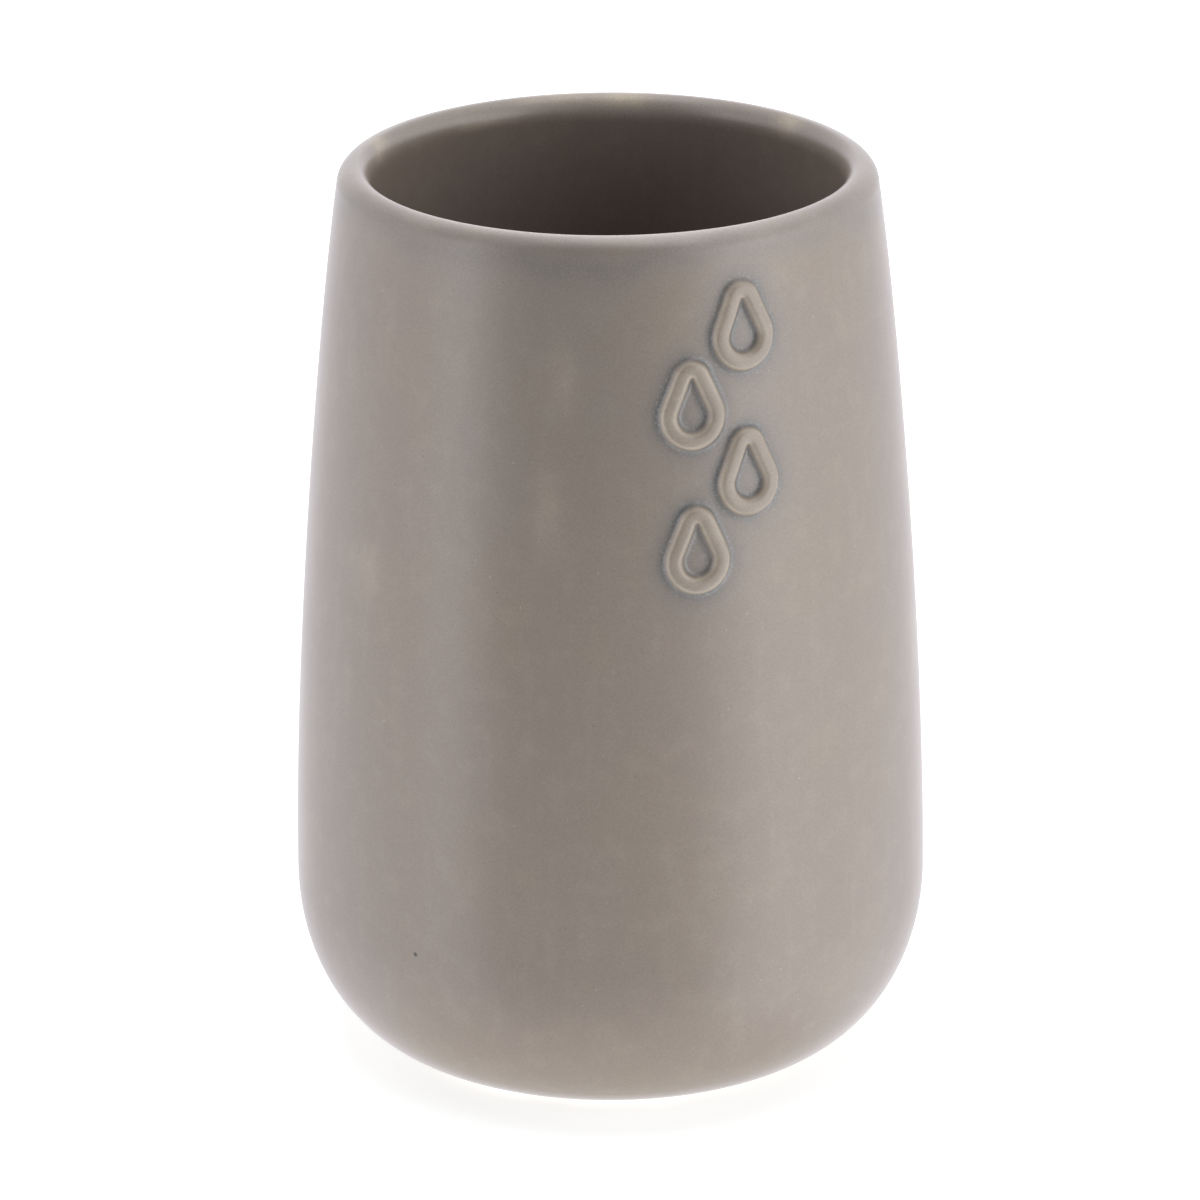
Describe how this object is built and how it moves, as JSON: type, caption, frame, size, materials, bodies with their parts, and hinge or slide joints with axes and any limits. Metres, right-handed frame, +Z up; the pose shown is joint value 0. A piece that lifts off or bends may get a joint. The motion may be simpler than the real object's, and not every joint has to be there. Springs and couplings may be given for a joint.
{
  "type": "ceramic bathroom tumbler",
  "caption": "Open glazed ceramic tumbler with a rounded base, a wall drawn in to a rounded lip and raised water drops, for holding cotton swabs on a washstand.",
  "frame": {"origin": "on the surface the tumbler stands on, under the middle of the vessel", "axes": "+Z up along the vessel's axis; -Y the front, where the column of raised drops is; +X to the right seen from the front"},
  "size_m": [0.076, 0.076, 0.11],
  "materials": {
    "satin_glaze": "satin",
    "sprig_glaze": "satin",
    "pad_rubber": "matte"
  },
  "bodies": {
    "root": {"tumbler_body": "satin_glaze", "drop_sprig_1": "sprig_glaze", "drop_sprig_2": "sprig_glaze", "drop_sprig_3": "sprig_glaze", "drop_sprig_4": "sprig_glaze", "anti_slip_pad_1": "pad_rubber", "anti_slip_pad_2": "pad_rubber", "anti_slip_pad_3": "pad_rubber"}
  },
  "joints": []
}
